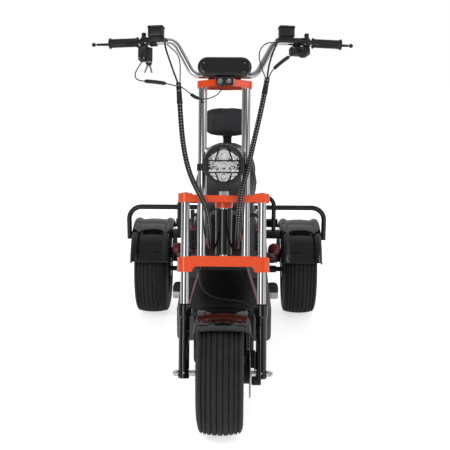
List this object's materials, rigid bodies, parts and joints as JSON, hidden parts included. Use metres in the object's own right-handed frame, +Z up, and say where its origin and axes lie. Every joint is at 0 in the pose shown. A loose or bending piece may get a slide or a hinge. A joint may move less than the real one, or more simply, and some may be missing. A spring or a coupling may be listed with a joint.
{
  "type": "three-wheeled electric scooter",
  "caption": "Electric scooter with one steered front wheel, a tall triple-clamp fork, a low floor, a two-person seat with backrest, and rear wheels under guards.",
  "frame": {"origin": "on the ground, midway along the length and on the centre plane", "axes": "+Z up, -Y towards the front wheel, +X towards the scooter's left side"},
  "size_m": [1.0166, 1.8479, 1.5142],
  "materials": {
    "gloss_black": "gloss black moulded plastic",
    "grey_paint": "satin grey paint with a red pinstripe",
    "black_steel": "satin black powder coat on steel",
    "orange_paint": "gloss orange-red paint",
    "chrome": "polished chrome",
    "zinc_steel": "bright steel",
    "red_spring": "dark red paint",
    "rim_alloy": "black cast alloy",
    "tyre": "ribbed black tyre rubber",
    "seat_leather": "dark grey leathercloth",
    "black_rubber": "black rubber",
    "black_plastic": "satin black plastic",
    "lever_alloy": "black anodised alloy",
    "lamp_glass": "clear lens",
    "tail_red": "red lens plastic",
    "loom_sleeve": "braided black sleeve"
  },
  "bodies": {
    "frame": {"head_tube": "gloss_black", "floor_deck": "grey_paint", "battery_box": "gloss_black", "front_shroud": "gloss_black", "seat_box": "grey_paint", "seat": "seat_leather", "rear_frame": "black_steel", "rear_fenders": "gloss_black", "rear_axle": "black_steel", "shock_dampers": "black_steel", "shock_springs": "red_spring", "backrest_pad": "seat_leather", "foot_pegs": "black_rubber", "tail_lamp": "tail_red"},
    "steering": {"lower_clamp": "orange_paint", "middle_clamp": "orange_paint", "top_clamp": "orange_paint", "fork_tubes": "chrome", "inner_tubes": "chrome", "fork_legs": "gloss_black", "steering_stem": "chrome", "front_axle": "zinc_steel", "front_calliper": "black_steel", "front_fender": "gloss_black", "handlebar": "chrome", "bar_clamps": "chrome", "grips": "black_rubber", "brake_cylinders": "black_plastic", "switch_pods": "black_plastic", "brake_levers": "lever_alloy", "display": "black_plastic", "display_bracket": "black_steel", "headlight_shell": "black_plastic", "headlight_lens": "lamp_glass", "headlight_ring": "black_plastic", "right_loom": "loom_sleeve", "left_loom": "loom_sleeve", "brake_hoses": "loom_sleeve"},
    "front_wheel": {"front_tyre": "tyre", "front_rim": "rim_alloy", "front_brake_disc": "zinc_steel"},
    "left_rear_wheel": {"left_rear_tyre": "tyre", "left_rear_rim": "rim_alloy"},
    "right_rear_wheel": {"right_rear_tyre": "tyre", "right_rear_rim": "rim_alloy"}
  },
  "joints": [
    {"name": "steering_turn", "type": "hinge", "parent": "frame", "child": "steering", "pos_m": [0, -0.49494, 0.74427], "axis": [0, 0.2924, 0.9563], "range_deg": [-35, 35], "deforming": ["right_loom", "left_loom"]},
    {"name": "front_wheel_spin", "type": "hinge", "parent": "steering", "child": "front_wheel", "pos_m": [0, -0.694, 0.23], "axis": [1, 0, 0], "continuous": true},
    {"name": "left_rear_wheel_spin", "type": "hinge", "parent": "frame", "child": "left_rear_wheel", "pos_m": [0.378, 0.656, 0.23], "axis": [1, 0, 0], "continuous": true},
    {"name": "right_rear_wheel_spin", "type": "hinge", "parent": "frame", "child": "right_rear_wheel", "pos_m": [-0.378, 0.656, 0.23], "axis": [1, 0, 0], "continuous": true}
  ]
}
